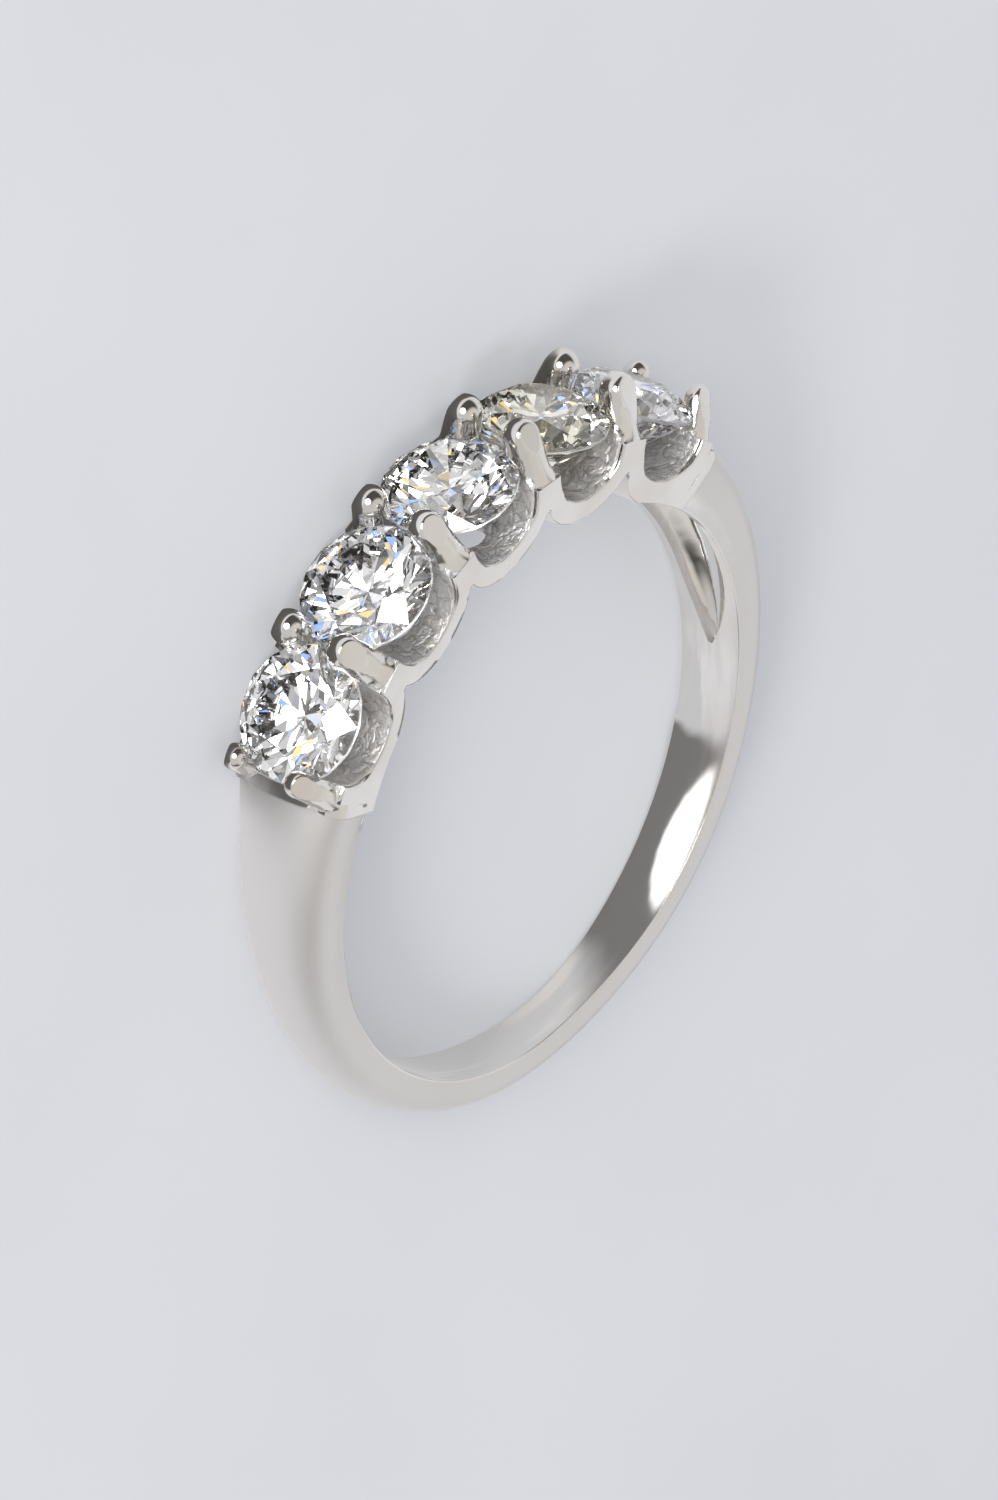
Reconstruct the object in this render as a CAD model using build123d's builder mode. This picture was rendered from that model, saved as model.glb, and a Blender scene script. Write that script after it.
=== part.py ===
from build123d import *
import os
from math import asin, atan, cos, degrees, hypot, radians, sin, sqrt, tan

os.makedirs("parts", exist_ok=True)

# The ring lies on its side: the finger axis is Z, the stones sit over +Y and stone 1 is the one towards -X.
# Lengths are in millimetres and angles in degrees.
finger_radius = 8.5

# Five round brilliants, girdle to girdle
stone_count = 5
stone_diameter = 3.8
stone_spacing = 0.05  # closest approach of two neighbouring girdles
culet_height = 0.66  # from the finger hole's wall to the point of a stone
stone_turns = (9, 31, 17, 40, 24)  # each stone's turn about its own axis
seat_clearance = 0.03  # between a stone and the metal that holds it

# The cut, as shares of the stone's radius or diameter
table_share = 0.57
star_share = 0.5
girdle_share = 0.03
lower_half_share = 0.77
crown_angle = 34.5
pavilion_angle = 40.75
main_count = 8
girdle_sides = 64

# Gallery: scalloped side walls with a U opening beside each stone
wall_proud = 0.02  # the walls stand this far outside the girdles
strap_thickness = 0.66  # from the finger hole to the bottom of a U opening
opening_radius = 1.33
opening_flare = 0.5  # how much more the sides of a U lean than the prongs beside it
notch_rise = 1.22  # from the finger hole to the notch between two settings
cup_flat = 0.08  # how far the finger hole cuts into a setting's round underside
wall_flare = 0.3  # the side walls lean out by this much from the finger hole
wall_flare_height = 1.3
wall_drop = 0.35  # the side walls end this far under the girdles, and the prongs rise from them
partition_drop = 0.45  # the same for the walls between two stones
end_wall = 0.45  # metal beyond the end prongs
strap_proud = 0.04  # it stands this far outside the shank
edge_round = 0.08
notch_round = 0.06

# Hole under each stone: a cone that narrows to a round mouth in the finger hole
seat_radius = 1.52
seat_height = 1.45  # from the finger hole to the cone's wide end
mouth_radius = 0.76
mouth_length = 0.75

# Prongs: round bars that flare into the walls, lean over the girdles and end in a ball, with a flat outside
prong_height = 1.3  # above the girdle plane
prong_tip_radius = 0.5
end_prong_height = 1.0
end_prong_tip_radius = 0.37
end_prong_lean = 11.0  # the end prongs lean this much towards their stone
prong_taper = 0.05  # how much thicker a bar is at the girdle
prong_bite = 0.2  # how far a prong reaches over the girdle
end_prong_bite = 0.2
prong_foot_drop = 0.93  # from the girdles to the foot of a bar, inside the wall
prong_foot_inset = 0.55  # from a wall's outer face to the bar's axis
foot_flare = 0.5  # added to the bar's radius at its foot
end_foot_flare = 0.2
facet_lean = 25.0
facet_offset = 0.34  # from the ball's centre
end_facet_offset = 0.22

# Shank, from the bottom of the ring to the shoulders
shank_width_bottom = 1.5
shank_width_shoulder = 3.82
bore_width_bottom = 1.44  # width of the flat inside
bore_width_shoulder = 3.02
shank_thickness_bottom = 1.15
shank_thickness_shoulder = 2.3
side_share_bottom = 0.42  # part of the thickness below the dome
side_share_shoulder = 0.62
bore_edge_round = 0.14
bore_stock = 0.05  # left inside the finger hole, then bored away
# Share of the arc from bottom to shoulder, and of the way from the bottom's size to the shoulder's
shank_sections = (
    # arc, width, flat, thickness, side
    (0.0, 0.0, 0.0, 0.0, 0.0),
    (0.22, 0.12, 0.2, 0.01, 0.0),
    (0.43, 0.2, 0.31, 0.07, 0.0),
    (0.62, 0.31, 0.43, 0.24, 0.08),
    (0.78, 0.52, 0.62, 0.5, 0.28),
    (0.9, 0.71, 0.82, 0.77, 0.62),
    (1.0, 1.0, 1.0, 1.0, 1.0),
)

# Hollow inside each shoulder, tapering to a point down the shank
hollow_start = 57.0
hollow_end = 102.5
hollow_rim = 0.3
hollow_depth_share = 0.5
hollow_base = 0.1
# Share of the hollow's length, of the width between its rims and of its full depth
hollow_sections = (
    # length, width, depth
    (0.0, 1.0, 1.0),
    (0.28, 1.0, 0.95),
    (0.55, 0.97, 0.85),
    (0.78, 0.78, 0.75),
    (0.92, 0.42, 0.6),
    (1.0, 0.1, 0.45),
)

# Sizes that follow
stone_radius = stone_diameter / 2
girdle_half = girdle_share * stone_diameter / 2
table_radius = table_share * stone_radius
crown_height = girdle_half + (stone_radius - table_radius) * tan(radians(crown_angle))
pavilion_depth = girdle_half + stone_radius * tan(radians(pavilion_angle))
girdle_plane = finger_radius + culet_height + pavilion_depth
half_pitch = degrees(
    atan(stone_radius / girdle_plane)
    + asin(stone_spacing / 2 / hypot(stone_radius, girdle_plane))
)
pitch = 2 * half_pitch
prong_line = stone_count * half_pitch
head_end = prong_line + degrees(end_wall / girdle_plane)
head_half_width = stone_radius + wall_proud
wall_top = girdle_plane - wall_drop
opening_middle = finger_radius + strap_thickness + opening_radius
partition_top = girdle_plane - partition_drop
prong_foot_z = head_half_width - prong_foot_inset
prong_foot = girdle_plane - prong_foot_drop
strap_side = finger_radius + side_share_shoulder * shank_thickness_shoulder
strap_dome = (1 - side_share_shoulder) * shank_thickness_shoulder + strap_proud
prong_limit = girdle_plane + 1.5 * max(prong_height, end_prong_height)

# Facet edges of the cut that follow from its proportions
main_step = 360 / main_count
edge_turn = main_step / 2
half_turn = main_step / 4
table_flat = table_radius * cos(radians(edge_turn))
star_tip = table_flat + star_share * (stone_radius - table_flat)
star_height = girdle_half + (stone_radius - star_tip * cos(radians(edge_turn))) * tan(radians(crown_angle))
lower_tip = (1 - lower_half_share) * stone_radius
lower_depth = girdle_half + (stone_radius - lower_tip * cos(radians(edge_turn))) * tan(radians(pavilion_angle))

half_flat = stone_radius * cos(radians(half_turn))
star_slope = atan((crown_height - star_height) / (star_tip - table_flat))
upper_slope = atan((star_height - girdle_half) / ((stone_radius - star_tip) * cos(radians(half_turn))))
lower_slope = atan((lower_depth - girdle_half) / ((stone_radius - lower_tip) * cos(radians(half_turn))))


def outward(angle, radius, z=0.0):
    """Point at an angle from the top of the ring, towards +X, and a radius from the finger axis."""
    return Vector(radius * sin(radians(angle)), radius * cos(radians(angle)), z)


def along(angle):
    """Direction round the ring, towards +X at the top."""
    return Vector(cos(radians(angle)), -sin(radians(angle)), 0)


def axis_distance(point):
    return hypot(point.X, point.Y)


def section_plane(angle):
    """Plane through the finger axis: x is the radius and y is Z."""
    return Plane(origin=(0, 0, 0), x_dir=outward(angle, 1), z_dir=along(angle))


def stone_angle(index):
    return (index - (stone_count - 1) / 2) * pitch


def stone_plane(index):
    """Girdle plane of a stone, its table facing outwards."""
    angle = stone_angle(index)
    return Plane(origin=outward(angle, girdle_plane), x_dir=(0, 0, 1), z_dir=outward(angle, 1))


def shank_size(arc):
    """Width, width of the flat inside, thickness and height of the sides at a share of the arc from the bottom."""
    for low, high in zip(shank_sections, shank_sections[1:]):
        if arc <= high[0]:
            way = (arc - low[0]) / (high[0] - low[0])
            width, flat, thick, side = (a + way * (b - a) for a, b in zip(low[1:], high[1:]))
            break
    thickness = shank_thickness_bottom + thick * (shank_thickness_shoulder - shank_thickness_bottom)
    return (
        shank_width_bottom + width * (shank_width_shoulder - shank_width_bottom),
        bore_width_bottom + flat * (bore_width_shoulder - bore_width_bottom),
        thickness,
        thickness * (side_share_bottom + side * (side_share_shoulder - side_share_bottom)),
    )


def shank_profile(width, flat, thickness, side_height):
    """D section: flat inside, sides that curve out a little and a domed outside."""
    half = width / 2
    flat_half = flat / 2
    inside = finger_radius - bore_stock
    corner = inside + bore_edge_round
    corner_middle = bore_edge_round * (1 - sqrt(0.5))
    side_top = finger_radius + side_height
    dome = thickness - side_height
    with BuildLine() as outline:
        Line((inside, bore_edge_round - flat_half), (inside, flat_half - bore_edge_round))
        ThreePointArc(
            (inside, flat_half - bore_edge_round),
            (inside + corner_middle, flat_half - corner_middle),
            (corner, flat_half),
        )
        TangentArc((side_top, half), (corner, flat_half), tangent=(-1, 0))
        EllipticalCenterArc((side_top, 0), dome, half, 90, arc_size=-180)
        TangentArc((side_top, -half), (corner, -flat_half), tangent=(-1, 0))
        ThreePointArc(
            (corner, -flat_half),
            (inside + corner_middle, corner_middle - flat_half),
            (inside, bore_edge_round - flat_half),
        )
    make_face(outline.edges())


def hollow_profile(half_width, depth):
    base = finger_radius - hollow_base
    with BuildLine() as outline:
        Line((base, -half_width), (base, half_width))
        EllipticalCenterArc((base, 0), depth + hollow_base, half_width, 90, arc_size=-180)
    make_face(outline.edges())


def opening_side(side, lean, top):
    """Where a U opening's straight side leaves its round bottom and where it ends, on one side."""
    turn = Vector(side * opening_radius * cos(radians(lean)), opening_middle - opening_radius * sin(radians(lean)))
    return turn, turn + Vector(side * (top - turn.Y) * tan(radians(lean)), top - turn.Y)


def opening_profile(lean_before, lean_after):
    """U between two prongs, open at the top."""
    top = 2 * prong_limit - girdle_plane
    before, top_before = opening_side(-1, lean_before, top)
    after, top_after = opening_side(1, lean_after, top)
    with BuildLine() as outline:
        ThreePointArc(before, (0, opening_middle - opening_radius), after)
        Polyline(after, top_after, top_before, before)
    make_face(outline.edges())


def cut_openings():
    lean = half_pitch + opening_flare
    end_lean = lean - end_prong_lean
    for index in range(stone_count):
        side_plane = Plane(origin=(0, 0, 0), x_dir=along(stone_angle(index)), z_dir=(0, 0, 1))
        with BuildSketch(side_plane) as opening:
            opening_profile(end_lean if index == 0 else lean, end_lean if index == stone_count - 1 else lean)
        extrude(opening.sketch, amount=2 * head_half_width, both=True, mode=Mode.SUBTRACT)


def is_rim(edge):
    """Edge of a gallery side wall, along a U opening or a setting's round underside."""
    flare_top = finger_radius + wall_flare_height
    on_side = abs(edge.center().Z) > head_half_width - 2 * wall_flare and not edge_runs_across(edge)
    below_top = axis_distance(edge @ 0.5) < prong_limit - edge_round / 2
    on_flare = all(abs(axis_distance(edge @ share) - flare_top) < 0.001 for share in (0, 0.5, 1))
    return on_side and below_top and not on_flare


def edge_runs_across(edge):
    return abs((edge @ 0).Z - (edge @ 1).Z) > head_half_width / 3


def ring_sector(inner, outer, start, end):
    """Part of a flat ring between two angles from the top."""
    with BuildLine() as outline:
        CenterArc((0, 0), outer, 90 - end, end - start)
        Line(outward(start, outer), outward(start, inner))
        CenterArc((0, 0), inner, 90 - end, end - start)
        Line(outward(end, inner), outward(end, outer))
    make_face(outline.edges())


def seat_profile():
    """Half section of a stone's room and of the hole under it, y = 0 at the girdle plane."""
    room = stone_radius + seat_clearance
    band = girdle_half + seat_clearance / 2
    slope = (lower_depth - girdle_half) / (stone_radius - lower_tip)
    hole_wall = finger_radius - girdle_plane
    bottom = hole_wall - finger_radius / 4
    with BuildLine() as outline:
        Polyline(
            (0, bottom),
            (mouth_radius, bottom),
            (mouth_radius, hole_wall + mouth_length),
            (seat_radius, hole_wall + seat_height),
            (seat_radius, -band - (room - seat_radius) * slope),
            (room, -band),
            (room, band),
            (star_tip + seat_clearance, star_height + seat_clearance),
            (table_radius + seat_clearance, crown_height + seat_clearance),
            (0, crown_height + seat_clearance),
            (0, bottom),
        )
    make_face(outline.edges())


def add_prong(angle, side, lean, tip_radius, height, bite, flare, ground_at):
    """Prong whose foot stands at an angle from the top and whose ball may lean back towards the top."""
    girdle_radius = tip_radius + prong_taper
    back = (girdle_plane - prong_foot) * tan(radians(lean))
    aside = girdle_plane * tan(radians(half_pitch)) - back
    reach = stone_radius + girdle_radius - bite
    girdle_z = sqrt(reach**2 - aside**2)
    rise = girdle_plane + height - tip_radius - prong_foot
    way = rise / (girdle_plane - prong_foot)
    tip_z = prong_foot_z + way * (girdle_z - prong_foot_z)
    towards_top = along(angle) * (-1 if angle > 0 else 1)
    foot = outward(angle, prong_foot, side * prong_foot_z)
    tip = foot + outward(angle, rise, side * (tip_z - prong_foot_z)) + towards_top * (back * way)

    axis_line = tip - foot
    length = axis_line.length
    girdle_at = length / way
    bar_plane = Plane(origin=foot, x_dir=axis_line, z_dir=axis_line.cross(Vector(0, 0, side)))
    with BuildSketch(bar_plane) as bar:
        with BuildLine():
            Polyline((-flare, 0), (-flare, girdle_radius + flare), (0, girdle_radius + flare))
            TangentArc((girdle_at, girdle_radius), (0, girdle_radius + flare), tangent=(-1, 0))
            Line((girdle_at, girdle_radius), (length, tip_radius))
            ThreePointArc(
                (length, tip_radius),
                (length + tip_radius * sqrt(0.5), tip_radius * sqrt(0.5)),
                (length + tip_radius, 0),
            )
            Line((length + tip_radius, 0), (-flare, 0))
        make_face()
    revolve(bar.sketch, axis=Axis(foot, axis_line))

    slope = tan(radians(facet_lean))
    near = Vector(
        prong_foot + rise + ground_at * sin(radians(facet_lean)),
        tip_z + ground_at * cos(radians(facet_lean)),
    )
    above = 2 * tip_radius
    beyond = head_half_width + prong_foot_inset
    low = (near.X - (beyond - near.Y) / slope, side * beyond)
    high = (near.X + above, side * (near.Y - above * slope))
    with BuildSketch(section_plane(angle)) as flat:
        with BuildLine():
            Polyline(low, high, (near.X + above, side * beyond), low)
        make_face()
    extrude(flat.sketch, amount=prong_foot_inset + girdle_radius, both=True, mode=Mode.SUBTRACT)


def cut_facet(azimuth, radius, height, slope, up):
    """Grind the stone flat along a plane through a point, at a slope from the girdle plane."""
    point = Vector(radius, 0, height).rotate(Axis.Z, azimuth)
    normal = Vector(sin(slope), 0, cos(slope) if up else -cos(slope)).rotate(Axis.Z, azimuth)
    split(bisect_by=Plane(origin=point, z_dir=normal), keep=Keep.BOTTOM)


# Round underside of a setting: through the notches beside it and into the finger hole's wall
notch_radius = finger_radius + notch_rise
cup_bottom = finger_radius - cup_flat
notch_drop = notch_radius * cos(radians(half_pitch)) - cup_bottom
notch_aside = notch_radius * sin(radians(half_pitch))
cup_radius = (notch_drop**2 + notch_aside**2) / (2 * notch_drop)

# Two prongs stand between each two stones and two at each end
with BuildPart() as prongs:
    for number in range(stone_count + 1):
        angle = number * pitch - prong_line
        for side in (1, -1):
            if number in (0, stone_count):
                tip = (end_prong_tip_radius, end_prong_height, end_prong_bite)
                add_prong(angle, side, end_prong_lean, *tip, end_foot_flare, end_facet_offset)
            else:
                add_prong(angle, side, 0, prong_tip_radius, prong_height, prong_bite, foot_flare, facet_offset)

# What is cut away above the side walls, between and around the prongs
with BuildPart() as waste:
    with BuildSketch(Plane.XY):
        ring_sector(wall_top, prong_limit + prong_height, -head_end - pitch, head_end + pitch)
    extrude(amount=2 * head_half_width, both=True)
    add(prongs.part, mode=Mode.SUBTRACT)

# What is cut away beyond the end prongs, so that the end straps are domed like the shank
with BuildPart() as strap_waste:
    for side in (1, -1):
        with BuildSketch(section_plane(side * prong_line)):
            with Locations(((strap_side + prong_limit) / 2, 0)):
                Rectangle(prong_limit - strap_side, 4 * head_half_width)
            with Locations((strap_side, 0)):
                Ellipse(strap_dome, head_half_width + strap_proud, mode=Mode.SUBTRACT)
        revolve(axis=Axis((0, 0, 0), (0, 0, -side)), revolution_arc=pitch)
    add(prongs.part, mode=Mode.SUBTRACT)

# One metal casting: gallery, prongs and shank
with BuildPart() as ring_mount:
    with BuildSketch(Plane.XY) as side_view:
        ring_sector((notch_radius + wall_top) / 2, prong_limit, -head_end, head_end)
        for side in (-1, 1):
            end_stone = side * stone_angle(stone_count - 1)
            end_side = side * head_end
            ring_sector(cup_bottom, wall_top, min(end_stone, end_side), max(end_stone, end_side))
        with Locations([outward(stone_angle(index), cup_bottom + cup_radius) for index in range(stone_count)]):
            Circle(cup_radius)
        Circle(prong_limit, mode=Mode.INTERSECT)
        notches = side_view.vertices().filter_by(lambda corner: abs(axis_distance(corner) - notch_radius) < notch_round)
        fillet(notches, notch_round)
    extrude(amount=head_half_width, both=True)
    cut_openings()

    # The side walls lean: a cone on each side takes their lower part away
    for side in (1, -1):
        with BuildSketch(section_plane(0)):
            with BuildLine():
                Polyline(
                    (finger_radius + wall_flare_height, side * head_half_width),
                    (finger_radius - wall_flare_height, side * (head_half_width - 2 * wall_flare)),
                    (finger_radius - wall_flare_height, side * head_half_width),
                    (finger_radius + wall_flare_height, side * head_half_width),
                )
            make_face()
        revolve(axis=Axis.Z, mode=Mode.SUBTRACT)
    fillet(ring_mount.edges().filter_by(is_rim), edge_round)
    add(waste.part, mode=Mode.SUBTRACT)
    add(strap_waste.part, mode=Mode.SUBTRACT)

    # Walls between the stones, hidden behind the prongs
    with BuildSketch(Plane.XY):
        ring_sector((notch_radius + wall_top) / 2, partition_top, -prong_line, prong_line)
    extrude(amount=prong_foot_z, both=True)
    cut_openings()

    # Shank, lofted from one shoulder round the bottom to the other
    shank_arc = 180 - prong_line
    for side, rows in ((-1, shank_sections[:0:-1]), (1, shank_sections)):
        for row in rows:
            with BuildSketch(section_plane(180 + side * row[0] * shank_arc)):
                shank_profile(*shank_size(row[0]))
    loft()

    # Rooms for the stones, and the holes under them
    for index in range(stone_count):
        angle = stone_angle(index)
        half_section = Plane(origin=outward(angle, girdle_plane), x_dir=(0, 0, 1), z_dir=-along(angle))
        with BuildSketch(half_section):
            seat_profile()
        revolve(axis=Axis(half_section.origin, outward(angle, 1)), mode=Mode.SUBTRACT)

    # Hollow shoulders
    for side in (1, -1):
        for length, width, depth in hollow_sections:
            angle = hollow_start + length * (hollow_end - hollow_start)
            _, local_flat, local_thickness, _ = shank_size((180 - angle) / shank_arc)
            with BuildSketch(section_plane(side * angle)):
                hollow_profile(width * (local_flat / 2 - hollow_rim), depth * hollow_depth_share * local_thickness)
        loft(mode=Mode.SUBTRACT)

    # Finger hole
    with BuildSketch(Plane.XY):
        Circle(finger_radius)
    extrude(amount=2 * head_half_width, both=True, mode=Mode.SUBTRACT)

ring_mount.part.label = "ring_mount"
export_step(ring_mount.part, "parts/ring_mount.step")

# One cut stone, table up along Z, its girdle plane at Z = 0
with BuildPart() as brilliant:
    with BuildSketch(Plane.XY.offset(-pavilion_depth)):
        RegularPolygon(stone_radius, girdle_sides)
    extrude(amount=pavilion_depth + crown_height)
    for number in range(main_count):
        azimuth = number * main_step
        cut_facet(azimuth, stone_radius, girdle_half, radians(crown_angle), True)
        cut_facet(azimuth, stone_radius, -girdle_half, radians(pavilion_angle), False)
        cut_facet(azimuth + edge_turn, table_flat, crown_height, star_slope, True)
        for turn in (-half_turn, half_turn):
            cut_facet(azimuth + turn, half_flat, girdle_half, upper_slope, True)
            cut_facet(azimuth + turn, half_flat, -girdle_half, lower_slope, False)

for index in range(stone_count):
    with BuildPart() as stone:
        with Locations(stone_plane(index)):
            add(brilliant.part, rotation=(0, 0, stone_turns[index % len(stone_turns)]))
    stone.part.label = f"stone_{index + 1}"
    export_step(stone.part, f"parts/stone_{index + 1}.step")
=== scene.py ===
from math import cos, radians, sin

import bpy
from mathutils import Euler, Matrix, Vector


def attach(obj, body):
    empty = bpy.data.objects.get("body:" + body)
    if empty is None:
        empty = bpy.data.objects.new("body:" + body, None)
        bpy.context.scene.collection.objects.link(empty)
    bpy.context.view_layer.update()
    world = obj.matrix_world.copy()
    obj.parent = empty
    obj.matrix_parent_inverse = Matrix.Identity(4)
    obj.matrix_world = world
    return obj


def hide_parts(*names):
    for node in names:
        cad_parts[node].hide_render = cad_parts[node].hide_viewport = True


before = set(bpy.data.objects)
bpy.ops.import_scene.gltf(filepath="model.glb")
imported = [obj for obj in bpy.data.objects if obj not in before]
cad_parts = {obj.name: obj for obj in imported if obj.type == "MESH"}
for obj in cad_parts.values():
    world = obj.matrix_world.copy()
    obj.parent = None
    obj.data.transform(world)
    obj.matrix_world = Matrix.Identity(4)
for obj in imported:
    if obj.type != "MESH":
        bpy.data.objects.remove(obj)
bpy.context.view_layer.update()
mm = 0.001
noiseSpan = (0.3, 0.7)  # most values of a noise lie between these
noiseMiddle = 0.5
print("packed ring loaded:", len(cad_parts), "nodes")


# A short way to add a node with its inputs, by name or number, and its settings
def nodeAdder(tree):
    def add(kind, inputs=None, **settings):
        node = tree.nodes.new(kind)
        for name, value in settings.items():
            setattr(node, name, value)
        for name, value in (inputs or {}).items():
            if isinstance(value, bpy.types.NodeSocket):
                tree.links.new(value, node.inputs[name])
            else:
                node.inputs[name].default_value = value
        return node

    return add


def mathAdder(add):
    def calc(operation, *values):
        return add("ShaderNodeMath", dict(enumerate(values)), operation=operation).outputs[0]

    return calc


def vectorAdder(add):
    def calc(operation, *values):
        node = add("ShaderNodeVectorMath", dict(enumerate(values)), operation=operation)
        return node.outputs["Value" if operation in ("DOT_PRODUCT", "DISTANCE") else "Vector"]

    return calc


def product(calc, first, *others):
    for other in others:
        first = calc("MULTIPLY", first, other)
    return first


def scaled(add, vector, share):
    return add("ShaderNodeVectorMath", {0: vector, "Scale": share}, operation="SCALE").outputs[0]


# The x, y and z of a vector
def split(add, vector):
    return add("ShaderNodeSeparateXYZ", {0: vector}).outputs


def joined(add, **parts):
    return add("ShaderNodeCombineXYZ", {name.upper(): part for name, part in parts.items()}).outputs[0]


def noise(add, place, settings, output=0):
    return add("ShaderNodeTexNoise", {"Vector": place, **settings}).outputs[output]


# Smooth step from 0 at the first limit to 1 at the second, which may be the lower of the two
def fade(add, value, start, end):
    limits = {"Value": value, "From Min": start, "From Max": end}
    return add("ShaderNodeMapRange", limits, interpolation_type="SMOOTHSTEP").outputs["Result"]


# Straight line from low to high, over the usual values of a noise unless a span is given
def spread(add, value, low, high, span=noiseSpan):
    limits = {"Value": value, "From Min": span[0], "From Max": span[1], "To Min": low, "To Max": high}
    return add("ShaderNodeMapRange", limits).outputs["Result"]


def blendColour(add, share, first, second):
    return add("ShaderNodeMix", {"Factor": share, 6: first, 7: second}, data_type="RGBA").outputs[2]


def blendValue(add, share, first, second):
    return add("ShaderNodeMix", {0: share, 2: first, 3: second}, data_type="FLOAT").outputs[0]


def newMaterial(name):
    material = bpy.data.materials.new(name)
    material.use_nodes = True
    return material, nodeAdder(material.node_tree), material.node_tree.nodes["Principled BSDF"].inputs


def newObject(name, mesh):
    thing = bpy.data.objects.new(name, mesh)
    bpy.context.scene.collection.objects.link(thing)
    return thing


# An empty Geometry Nodes tree with named inputs, and the identifiers to set them by
def newGeometryTree(name, inputs):
    tree = bpy.data.node_groups.new(name, "GeometryNodeTree")
    face = tree.interface
    face.new_socket("Geometry", in_out="INPUT", socket_type="NodeSocketGeometry")
    identifiers = {}
    for label, kind in inputs.items():
        socket = face.new_socket(label, in_out="INPUT", socket_type="NodeSocket" + kind)
        identifiers[label] = socket.identifier
    face.new_socket("Geometry", in_out="OUTPUT", socket_type="NodeSocketGeometry")
    return tree, identifiers


def endTree(add, geometry, material):
    real = add("GeometryNodeRealizeInstances", {0: geometry}).outputs[0]
    done = add("GeometryNodeSetMaterial", {"Geometry": real, "Material": material}).outputs[0]
    add("NodeGroupOutput", {0: done})


# Runs the tree on the object once and leaves the result as its plain mesh
def runTree(thing, tree, identifiers, values):
    modifier = thing.modifiers.new(tree.name, "NODES")
    modifier.node_group = tree
    for label, value in values.items():
        modifier[identifiers[label]] = value
    plain = bpy.data.meshes.new_from_object(thing.evaluated_get(bpy.context.evaluated_depsgraph_get()))
    thing.modifiers.clear()
    thing.data = plain


cameraSetup = {
    "place": (-0.1984499, 0.2720601, 0.2158742),
    "turn": (-32.3924, -50.1513, -14.2336),  # degrees
    "lens": 352.512,
    "sensorHeight": 36,
    "clip": (0.02, 20),
}


def placeCamera():
    lens = bpy.data.cameras.new("camera")
    lens.sensor_fit = "VERTICAL"
    lens.sensor_height = cameraSetup["sensorHeight"]
    lens.lens = cameraSetup["lens"]
    lens.clip_start, lens.clip_end = cameraSetup["clip"]
    lens.dof.use_dof = False
    camera = newObject("camera", lens)
    camera.location = cameraSetup["place"]
    camera.rotation_euler = Euler([radians(angle) for angle in cameraSetup["turn"]])
    bpy.context.scene.camera = camera


floorSetup = {
    "halfSize": 1.5,  # metres
    "headTouch": (9.5 * mm, -1.92 * mm),  # y and z where the setting's side rests
    "shankTouch": (-9.6 * mm, -0.77 * mm),  # and where the bottom of the shank does
    "colour": (0.66, 0.665, 0.69, 1),
    "shade": (0.64, 0.645, 0.67, 1),
    "grain": {"Scale": 60, "Detail": 4},
    "roughness": (0.75, 0.95),
    "specular": 0.15,
    "ownLight": 0.35,  # share of the card's brightness that no shadow takes away
    "ownLightGain": 1.1,
    # Painted reflection: how the metal sees the card, with painted shade round the head, grey with a
    # painted glow in the finger hole, else bright
    "mirrorDark": (0.13, 0.125, 0.12, 1),
    "mirrorGrey": (0.27, 0.265, 0.26, 1),
    "mirrorBright": (0.86, 0.86, 0.87, 1),
    "mirrorGlow": (2.1, 2.1, 2.1, 1),
    # The edges of those parts in x and y, each from none of it to all of it
    "darkNearY": (5.2 * mm, 7.4 * mm),
    "darkFarY": (15.8 * mm, 14.6 * mm),
    "darkX": (7.6 * mm, 5.2 * mm),
    "greyY": (-3.2 * mm, -3.5 * mm),
    "greyLean": 0.15,
    "greyX": (1.0 * mm, 2.4 * mm),
    "glowPlace": (3.78 * mm, -4.98 * mm, 0),
    "glowRadius": 0.88 * mm,
    "glowEdge": (1.1, 0.85),  # shares of that radius
    "wander": {"Scale": 900, "Detail": 2},
    "ragged": 0.4 * mm,  # how far the wandering noise moves those edges
}


# The card as the metal mirrors it: a painted reflection
def paintedReflectionCard(add, place):
    calc, vec = mathAdder(add), vectorAdder(add)
    wander = vec("SUBTRACT", noise(add, place, floorSetup["wander"], "Color"), (noiseMiddle,) * 3)
    x, y, _ = split(add, vec("ADD", place, scaled(add, wander, floorSetup["ragged"])))

    def within(value, name):
        return fade(add, value, *floorSetup[name])

    dark = product(calc, within(y, "darkNearY"), within(x, "darkX"), within(y, "darkFarY"))
    leaning = calc("ADD", y, calc("MULTIPLY", x, floorSetup["greyLean"]))
    grey = product(calc, within(leaning, "greyY"), within(x, "greyX"))
    fromGlow = vec("DISTANCE", joined(add, x=x, y=y), floorSetup["glowPlace"])
    glow = fade(add, fromGlow, *(floorSetup["glowRadius"] * share for share in floorSetup["glowEdge"]))
    seen = blendColour(add, grey, floorSetup["mirrorBright"], floorSetup["mirrorGrey"])
    seen = blendColour(add, glow, seen, floorSetup["mirrorGlow"])
    return blendColour(add, dark, seen, floorSetup["mirrorDark"])


def paleCard():
    material, add, shader = newMaterial("paleCard")
    link = material.node_tree.links.new
    place = add("ShaderNodeTexCoord").outputs["Object"]
    grain = noise(add, place, floorSetup["grain"])
    card = blendColour(add, fade(add, grain, *noiseSpan), floorSetup["colour"], floorSetup["shade"])
    # Rays that the metal mirrors see the painted reflection, not the card itself
    mirrored = add("ShaderNodeLightPath").outputs["Is Glossy Ray"]
    card = blendColour(add, mirrored, card, paintedReflectionCard(add, place))
    link(scaled(add, card, 1 - floorSetup["ownLight"]), shader["Base Color"])
    link(card, shader["Emission Color"])
    link(blendValue(add, grain, *floorSetup["roughness"]), shader["Roughness"])
    shader["Emission Strength"].default_value = floorSetup["ownLight"] * floorSetup["ownLightGain"]
    shader["Specular IOR Level"].default_value = floorSetup["specular"]
    return material


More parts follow.
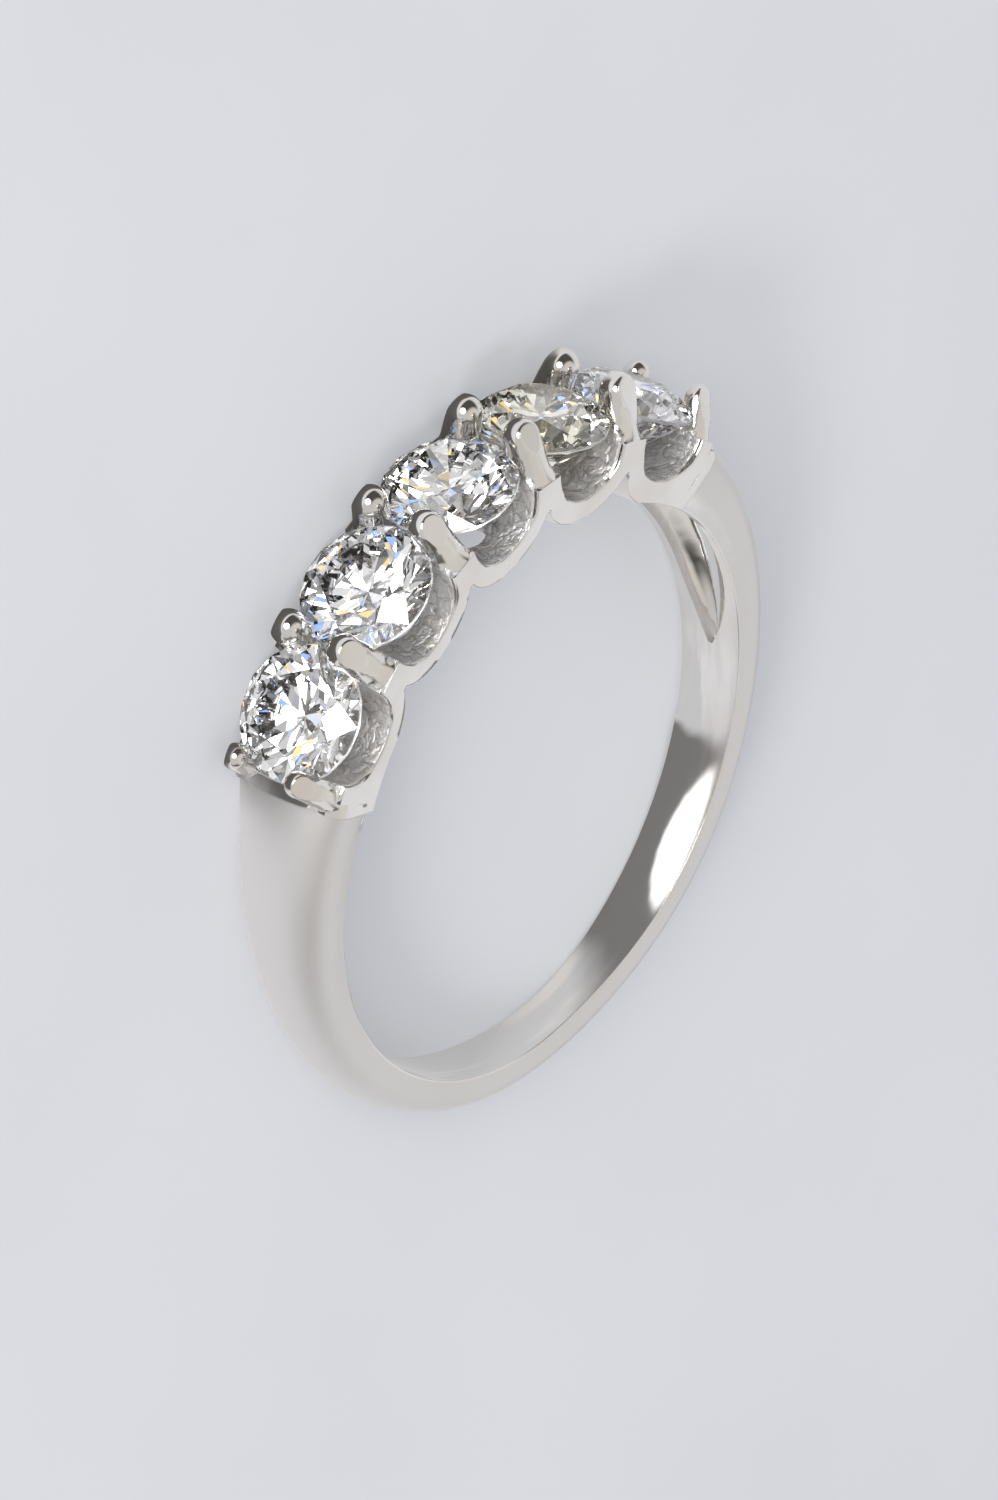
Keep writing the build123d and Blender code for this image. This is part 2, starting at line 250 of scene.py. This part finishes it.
# The ring lies on its side, on the setting and the bottom of the shank
def layFloor():
    half = floorSetup["halfSize"]
    (headY, headZ), (shankY, shankZ) = floorSetup["headTouch"], floorSetup["shankTouch"]
    slope = (headZ - shankZ) / (headY - shankY)
    square = ((-half, -half), (half, -half), (half, half), (-half, half))
    mesh = bpy.data.meshes.new("floor")
    mesh.from_pydata([(x, y, headZ + slope * (y - headY)) for x, y in square], [], [(0, 1, 2, 3)])
    mesh.materials.append(paleCard())
    newObject("floor", mesh)


# Each pair of limits runs from none of it to all of it
lightSetup = {
    "roomWay": (-0.497, 0.679, 0.541),  # the dark room lies this way, the white tent the other
    "roomEdge": (radians(98), radians(80)),  # how far a direction is turned away from that
    "roomTop": (0.84, 0.62),  # sine of the height where the room ends
    "roomLevel": (0.10, 0.092, 0.085, 1),
    "tentEdge": (radians(60), radians(115)),
    "tentFront": (0.80, 0.77, 0.73, 1),
    "tentBack": (0.90, 0.905, 0.92, 1),
    "sideGlow": (radians(52), radians(30)),  # round the side lamp the dark room opens for the satin
    "sideLevel": (0.72, 0.71, 0.70, 1),
    "skyLevel": (0.62, 0.63, 0.665, 1),  # what lights the floor and shows past its edge
    # The panels seen through the stones: the share of them that is darker, and the brightness there
    "panelLevels": (
        (0.0, 0.20), (0.16, 0.32), (0.32, 0.50), (0.50, 0.68), (0.64, 0.88), (0.82, 1.02), (1.0, 1.2),
    ),
    "panelScale": 5.0,
    "panelShuffle": 7.0,
    "glintScale": 5.5,
    "warmFrom": (0.91, 0.93),  # a cell glints warm where its random red is above this
    "warmGlint": (1.6, 1.2, 0.55, 1),
    "coldFrom": (0.89, 0.91),  # and cold by its green
    "coldGlint": (0.5, 0.8, 1.6, 1),
    "bounces": 12,  # light turns back many times inside a stone
    "lampDistance": 0.6,
    "lamps": {
        "key": {"way": (-0.535, 0.770, 0.342), "size": 0.36, "power": 2.1, "mirrored": True},
        "side": {"way": (-0.90, 0.22, 0.38), "size": 0.15, "power": 1.9, "mirrored": False},
    },
}


# What the metal mirrors: a dark room on one side, the white tent above and behind
def tentColour(add, way):
    calc, vec = mathAdder(add), vectorAdder(add)

    def turnedFrom(middle):
        return calc("ARCCOSINE", vec("DOT_PRODUCT", way, Vector(middle).normalized()))

    def within(value, name):
        return fade(add, value, *lightSetup[name])

    turn = turnedFrom(lightSetup["roomWay"])
    height = split(add, way)[2]
    tent = blendColour(add, within(turn, "tentEdge"), lightSetup["tentFront"], lightSetup["tentBack"])
    room = product(calc, within(turn, "roomEdge"), within(height, "roomTop"))
    seen = blendColour(add, room, tent, lightSetup["roomLevel"])
    aside = turnedFrom(lightSetup["lamps"]["side"]["way"])
    return blendColour(add, within(aside, "sideGlow"), seen, lightSetup["sideLevel"])


# What shows through the stones: bright panels, dark gaps between them and a few coloured glints
def panelColour(add, way):
    calc = mathAdder(add)

    def cellColours(scale):
        cells = add("ShaderNodeTexVoronoi", {"Vector": way, "Scale": scale, "Randomness": 1.0})
        return add("ShaderNodeSeparateColor", {0: cells.outputs["Color"]}).outputs

    shuffled = calc("MULTIPLY", cellColours(lightSetup["panelScale"])[2], lightSetup["panelShuffle"])
    ramp = add("ShaderNodeValToRGB", {"Fac": calc("FRACT", shuffled)})
    stops = ramp.color_ramp.elements
    while len(stops) < len(lightSetup["panelLevels"]):
        stops.new(0.5)
    for stop, (position, level) in zip(stops, lightSetup["panelLevels"]):
        stop.position = position
        stop.color = (level, level, level, 1)
    tone = ramp.outputs["Color"]
    red, green, _ = cellColours(lightSetup["glintScale"])
    tone = blendColour(add, fade(add, red, *lightSetup["warmFrom"]), tone, lightSetup["warmGlint"])
    return blendColour(add, fade(add, green, *lightSetup["coldFrom"]), tone, lightSetup["coldGlint"])


def lightTent():
    world = bpy.data.worlds.new("tent")
    bpy.context.scene.world = world
    world.use_nodes = True
    tree = world.node_tree
    add = nodeAdder(tree)
    way = vectorAdder(add)("NORMALIZE", add("ShaderNodeTexCoord").outputs["Generated"])
    path = add("ShaderNodeLightPath").outputs
    seen = blendColour(add, path["Is Glossy Ray"], lightSetup["skyLevel"], tentColour(add, way))
    seen = blendColour(add, path["Is Transmission Ray"], seen, panelColour(add, way))
    tree.links.new(seen, tree.nodes["Background"].inputs["Color"])
    bpy.context.scene.view_settings.view_transform = "Standard"
    cycles = bpy.context.scene.cycles
    cycles.max_bounces = cycles.glossy_bounces = cycles.transmission_bounces = lightSetup["bounces"]


# The key shows as the round glint on every ball tip. The metal doesn't mirror the side lamp.
def hangLamps():
    for name, setup in lightSetup["lamps"].items():
        light = bpy.data.lights.new(name, "AREA")
        light.shape = "DISK"
        light.size = setup["size"]
        light.energy = setup["power"]
        lamp = newObject(name, light)
        aim = Vector(setup["way"]).normalized()
        lamp.location = aim * lightSetup["lampDistance"]
        lamp.rotation_euler = aim.to_track_quat("Z", "Y").to_euler()
        lamp.visible_glossy = setup["mirrored"]


placeCamera()
layFloor()
lightTent()
hangLamps()
print("camera, floor and light set")

goldFinish = {
    "colour": (0.76, 0.745, 0.725, 1),
    "warmColour": (0.70, 0.67, 0.635, 1),
    "satinColour": (0.70, 0.685, 0.675, 1),
    # Painted reflection: the darker streaks on the wall of the finger hole
    "paintedStreakColour": (0.62, 0.61, 0.60, 1),
    "castColour": (0.74, 0.73, 0.72, 1),
    # Painted shade: the darker bottoms of the creases in the cast seats
    "paintedCreaseShade": (0.46, 0.45, 0.44, 1),
    # Roughness of the three finishes, from their smoothest spots to their dullest
    "polish": (0.05, 0.10),
    "satin": (0.50, 0.56),
    "cast": (0.30, 0.50),
    "castDull": 0.3,  # how far the rough seats scatter light instead of mirroring it
    # Where the finishes lie, each pair from none of it to all of it
    "satinFacing": (-0.45, -0.2),  # the normal against the way out of the finger hole, as a cosine
    "satinTurn": (radians(52.3), radians(52.9)),  # from the middle stone, where the head ends
    "seatTurn": (radians(50.6), radians(50.2)),
    "seatSide": (1.80 * mm, 1.70 * mm),  # from the middle of the ring's width
    "seatInner": (8.52 * mm, 8.6 * mm),  # from the finger axis
    "seatOuter": (10.9 * mm, 10.5 * mm),
    "seatUpward": (0.8, 0.6),  # not the side walls
    "seatFacing": (-0.5, -0.2),  # not the undersides
    "bandFacing": (-0.8, -0.95),  # the wall of the finger hole
    # The noises and how their values turn into patches, streaks of painted reflection and creases, which
    # are relief darkened with painted shade
    "clouds": {"Scale": 420, "Detail": 4},
    "cloudEdge": (0.35, 0.65),
    "lumps": {"Scale": 2600, "Detail": 5, "Roughness": 0.62},
    "lumpEdge": (0.4, 0.62),
    "folds": {"Scale": 1700, "Detail": 3, "Distortion": 0.35},
    "foldEdge": (0.03, 0.0),
    "streaks": {"Scale": 1100, "Detail": 3, "Distortion": 0.6},
    "streakEdge": (0.40, 0.56),
    "streakLength": 1.1 * mm,  # of the noise for each radian round the ring, so the streaks run along it
    "brush": {"Scale": 9000, "Detail": 3},
    # Relief
    "castRelief": 0.16 * mm,
    "lumpShare": 0.5,
    "foldSteepness": 1.6,
    "foldDepth": 0.5,
    "brushRelief": 0.004 * mm,
    "brushStrength": 0.5,
    "edgeRound": 0.035 * mm,
    "edgeSamples": 4,
}


# Where the satin, the cast seats and the wall of the finger hole are, each from 0 to 1
def goldZones(add, spot, turn, normal):
    calc, vec = mathAdder(add), vectorAdder(add)
    x, y, z = spot
    radius = calc("SQRT", calc("ADD", calc("MULTIPLY", x, x), calc("MULTIPLY", y, y)))
    facing = vec("DOT_PRODUCT", vec("NORMALIZE", joined(add, x=x, y=y)), normal)
    upward = calc("ABSOLUTE", split(add, normal)[2])

    def within(value, name):
        return fade(add, value, *goldFinish[name])

    satin = product(calc, within(facing, "satinFacing"), within(turn, "satinTurn"))
    seat = product(
        calc,
        within(turn, "seatTurn"),
        within(calc("ABSOLUTE", z), "seatSide"),
        within(radius, "seatInner"),
        within(radius, "seatOuter"),
        within(upward, "seatUpward"),
        within(facing, "seatFacing"),
    )
    return satin, seat, within(facing, "bandFacing")


def whiteGold():
    material, add, shader = newMaterial("whiteGold")
    link = material.node_tree.links.new
    calc = mathAdder(add)
    coordinates = add("ShaderNodeTexCoord").outputs
    place = coordinates["Object"]
    x, y, z = split(add, place)
    turn = calc("ABSOLUTE", calc("ARCTAN2", x, y))  # from the middle stone, either way
    satin, seat, band = goldZones(add, (x, y, z), turn, coordinates["Normal"])

    def patches(value, name):
        return fade(add, value, *goldFinish[name])

    clouds = noise(add, place, goldFinish["clouds"])
    lumps = noise(add, place, goldFinish["lumps"])
    folds = calc("SUBTRACT", noise(add, place, goldFinish["folds"]), noiseMiddle)
    creases = calc("ABSOLUTE", folds)  # sharp valleys where the noise passes its middle

    rough = spread(add, clouds, *goldFinish["polish"])
    rough = blendValue(add, satin, rough, spread(add, clouds, *goldFinish["satin"]))
    link(blendValue(add, seat, rough, spread(add, lumps, *goldFinish["cast"])), shader["Roughness"])

    colour = blendColour(add, patches(clouds, "cloudEdge"), goldFinish["colour"], goldFinish["warmColour"])
    swept = joined(add, x=calc("MULTIPLY", turn, goldFinish["streakLength"]), y=z)
    streaks = patches(noise(add, swept, goldFinish["streaks"]), "streakEdge")
    # Painted reflection: dark streaks on the wall of the finger hole, outside the seats, stand in for what
    # its polish mirrors
    paintedStreaks = product(calc, band, calc("SUBTRACT", 1.0, seat), streaks)
    colour = blendColour(add, paintedStreaks, colour, goldFinish["paintedStreakColour"])
    colour = blendColour(add, satin, colour, goldFinish["satinColour"])
    cast = blendColour(add, patches(lumps, "lumpEdge"), goldFinish["castColour"], goldFinish["warmColour"])
    # Painted shade in the bottoms of the creases
    cast = blendColour(add, patches(creases, "foldEdge"), cast, goldFinish["paintedCreaseShade"])
    link(blendColour(add, seat, colour, cast), shader["Base Color"])
    link(calc("SUBTRACT", 1.0, calc("MULTIPLY", seat, goldFinish["castDull"])), shader["Metallic"])

    def bump(height, distance, strength, under):
        inputs = {"Strength": strength, "Distance": distance, "Height": height, "Normal": under}
        return add("ShaderNodeBump", inputs).outputs[0]

    steep = calc("MULTIPLY", creases, goldFinish["foldSteepness"])
    valleys = calc("MINIMUM", steep, goldFinish["foldDepth"])
    relief = calc("ADD", calc("MULTIPLY", lumps, goldFinish["lumpShare"]), valleys)
    brushed = calc("MULTIPLY", noise(add, place, goldFinish["brush"]), satin)
    edge = {"Radius": goldFinish["edgeRound"]}
    normal = add("ShaderNodeBevel", edge, samples=goldFinish["edgeSamples"]).outputs[0]
    normal = bump(calc("MULTIPLY", relief, seat), goldFinish["castRelief"], 1.0, normal)
    normal = bump(brushed, goldFinish["brushRelief"], goldFinish["brushStrength"], normal)
    link(normal, shader["Normal"])
    return material


mountSkin = {
    "weld": 0.0002 * mm,
    "crease": radians(30),
}


# The metal as packed, welded and shaded smooth up to the crease angle
def dressMount(material):
    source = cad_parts["ring_mount"].data.copy()
    for layer in list(source.uv_layers):
        source.uv_layers.remove(layer)
    if "custom_normal" in source.attributes:
        source.attributes.remove(source.attributes["custom_normal"])
    source.materials.clear()
    mount = newObject("ring_metal", source)

    inputs = {"Weld Distance": "Float", "Crease Angle": "Float", "Metal": "Material"}
    tree, identifiers = newGeometryTree("mountSkin", inputs)
    add = nodeAdder(tree)
    start = add("NodeGroupInput").outputs
    weld = {"Geometry": start["Geometry"], "Distance": start["Weld Distance"]}
    welded = add("GeometryNodeMergeByDistance", weld).outputs[0]
    smooth = add("GeometryNodeSetShadeSmooth", {0: welded, "Shade Smooth": True}, domain="FACE").outputs[0]
    angle = add("GeometryNodeInputMeshEdgeAngle").outputs["Unsigned Angle"]
    both = {"A": angle, "B": start["Crease Angle"]}
    gentle = add("FunctionNodeCompare", both, data_type="FLOAT", operation="LESS_EQUAL").outputs[0]
    edged = add("GeometryNodeSetShadeSmooth", {0: smooth, "Shade Smooth": gentle}, domain="EDGE").outputs[0]
    endTree(add, edged, start["Metal"])

    values = {"Weld Distance": mountSkin["weld"], "Crease Angle": mountSkin["crease"], "Metal": material}
    runTree(mount, tree, identifiers, values)
    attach(mount, "root")
    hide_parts("ring_mount")
    print("metal skinned:", len(mount.data.vertices), "points,", len(mount.data.polygons), "faces")


stoneRow = {
    "count": 5,
    "halfPitch": 10.058924,  # degrees
    "girdleRadius": 10.854145 * mm,  # from the finger axis to the girdles
}

prongTips = {
    "segments": 48,
    "rings": 32,
    "proud": 0.006 * mm,
    "stretch": 2.6,  # of the lower half, which runs down into the bar
    "facetLean": radians(25),
    "facetSoft": 0.02 * mm,
    "foot": (9.924 * mm, 1.37 * mm),  # radius and height of a bar's foot
    # The ball's size and place, how far it leans back towards its stone, and how far out the flat is cut
    "middle": {
        "ball": 0.5 * mm, "radius": 11.654 * mm, "z": 0.987 * mm, "back": 0.0, "facet": 0.34 * mm,
    },
    "end": {
        "ball": 0.37 * mm, "radius": 11.484 * mm, "z": 1.092 * mm, "back": 0.303 * mm, "facet": 0.22 * mm,
    },
}


# One row for each prong: the ball's middle and size, the way the bar runs, and the flat on its outside
def tipRows():
    rows = []
    lean, proud = prongTips["facetLean"], prongTips["proud"]
    footRadius, footHeight = prongTips["foot"]
    for number in range(stoneRow["count"] + 1):
        turn = radians((2 * number - stoneRow["count"]) * stoneRow["halfPitch"])
        kind = prongTips["end" if number in (0, stoneRow["count"]) else "middle"]
        out = Vector((sin(turn), cos(turn), 0))
        inward = Vector((cos(turn), -sin(turn), 0)) * (-1 if turn > 0 else 1)
        for side in (1, -1):
            middle = out * kind["radius"] + inward * kind["back"] + Vector((0, 0, side * kind["z"]))
            foot = out * footRadius + Vector((0, 0, side * footHeight))
            facet = out * sin(lean) + Vector((0, 0, side * cos(lean)))
            rows.append({
                "middle": middle,
                "axis": (middle - foot).normalized(),
                "facet": facet,
                "ball": kind["ball"] + proud,
                "cut": kind["facet"] + proud,
            })
    return rows


# The ball tips of the twelve prongs: a ball on every point, then the outside ground flat
def makeProngTips(material):
    rows = tipRows()
    points = bpy.data.meshes.new("prongTips")
    points.from_pydata([row["middle"] for row in rows], [], [])
    for name in ("axis", "facet", "middle"):
        values = [value for row in rows for value in row[name]]
        points.attributes.new(name, "FLOAT_VECTOR", "POINT").data.foreach_set("vector", values)
    for name in ("ball", "cut"):
        values = [row[name] for row in rows]
        points.attributes.new(name, "FLOAT", "POINT").data.foreach_set("value", values)
    tips = newObject("prong_tips", points)

    tree, identifiers = newGeometryTree("prongTips", {
        "Segments": "Int",
        "Rings": "Int",
        "Stretch": "Float",
        "Facet Softness": "Float",
        "Metal": "Material",
    })
    add = nodeAdder(tree)
    calc, vec = mathAdder(add), vectorAdder(add)
    start = add("NodeGroupInput").outputs

    def named(name, kind):
        return add("GeometryNodeInputNamedAttribute", {"Name": name}, data_type=kind).outputs["Attribute"]

    def moved(geometry, offset):
        return add("GeometryNodeSetPosition", {"Geometry": geometry, "Offset": offset}).outputs[0]

    # A ball of radius 1, its lower half stretched down
    sphere = {"Segments": start["Segments"], "Rings": start["Rings"], "Radius": 1.0}
    ball = add("GeometryNodeMeshUVSphere", sphere).outputs[0]
    below = calc("MINIMUM", split(add, add("GeometryNodeInputPosition").outputs[0])[2], 0.0)
    longer = calc("MULTIPLY", below, calc("SUBTRACT", start["Stretch"], 1.0))
    bullet = moved(ball, joined(add, z=longer))

    axis = named("axis", "FLOAT_VECTOR")
    turned = add("FunctionNodeAlignRotationToVector", {"Vector": axis}, axis="Z").outputs[0]
    spots = {"Points": start["Geometry"], "Rotation": turned, "Scale": named("ball", "FLOAT")}
    each = add("GeometryNodeInstanceOnPoints", {"Instance": bullet, **spots}).outputs[0]
    solid = add("GeometryNodeRealizeInstances", {0: each}).outputs[0]

    # What reaches past the flat moves back onto it
    facet, middle = named("facet", "FLOAT_VECTOR"), named("middle", "FLOAT_VECTOR")
    reach = vec("DOT_PRODUCT", vec("SUBTRACT", add("GeometryNodeInputPosition").outputs[0], middle), facet)
    limits = {0: reach, 1: named("cut", "FLOAT"), 2: start["Facet Softness"]}
    kept = add("ShaderNodeMath", limits, operation="SMOOTH_MIN").outputs[0]
    ground = moved(solid, scaled(add, facet, calc("SUBTRACT", kept, reach)))
    smooth = add("GeometryNodeSetShadeSmooth", {0: ground, "Shade Smooth": True}, domain="FACE").outputs[0]
    endTree(add, smooth, start["Metal"])

    values = {
        "Segments": prongTips["segments"],
        "Rings": prongTips["rings"],
        "Stretch": prongTips["stretch"],
        "Facet Softness": prongTips["facetSoft"],
        "Metal": material,
    }
    runTree(tips, tree, identifiers, values)
    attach(tips, "root")
    print("prong tips made:", len(tips.data.polygons), "faces")


stoneCut = {
    "refraction": 2.417,
    "grain": {"Scale": 6000, "Detail": 3},
    "polishSpan": (0.6, 0.9),  # only the grain's highest values touch the polish
    "polish": (0.0, 0.01),
    "girdleHalf": 0.057 * mm,
    "girdleEdge": (1.05, 0.9),  # shares of that half, from clear to frosted
    "frost": (0.21, 0.49),
    "clear": (1.0, 1.0, 1.0, 1),
    "tints": {3: (1.0, 1.0, 0.995, 1), 4: (1.0, 0.975, 0.86, 1)},  # of the stones that aren't quite clear
}


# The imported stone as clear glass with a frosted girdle
def cutStone(number):
    material, add, shader = newMaterial("brilliant" + str(number))
    calc, vec = mathAdder(add), vectorAdder(add)
    place = add("ShaderNodeTexCoord").outputs["Object"]
    turn = radians((2 * number - 1 - stoneRow["count"]) * stoneRow["halfPitch"])
    height = vec("DOT_PRODUCT", place, Vector((sin(turn), cos(turn), 0)))
    fromGirdle = calc("ABSOLUTE", calc("SUBTRACT", height, stoneRow["girdleRadius"]))
    girdle = fade(add, fromGirdle, *(stoneCut["girdleHalf"] * share for share in stoneCut["girdleEdge"]))
    grain = noise(add, place, stoneCut["grain"])
    frost = calc("MULTIPLY", girdle, spread(add, grain, *stoneCut["frost"], span=(0, 1)))
    polish = spread(add, grain, *stoneCut["polish"], span=stoneCut["polishSpan"])
    material.node_tree.links.new(calc("ADD", frost, polish), shader["Roughness"])
    shader["Base Color"].default_value = stoneCut["tints"].get(number, stoneCut["clear"])
    shader["Transmission Weight"].default_value = 1
    shader["IOR"].default_value = stoneCut["refraction"]
    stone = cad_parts["stone_" + str(number)]
    stone.data.materials.clear()
    stone.data.materials.append(material)


gold = whiteGold()
dressMount(gold)
makeProngTips(gold)
for number in range(1, stoneRow["count"] + 1):
    cutStone(number)
print("stones dressed")
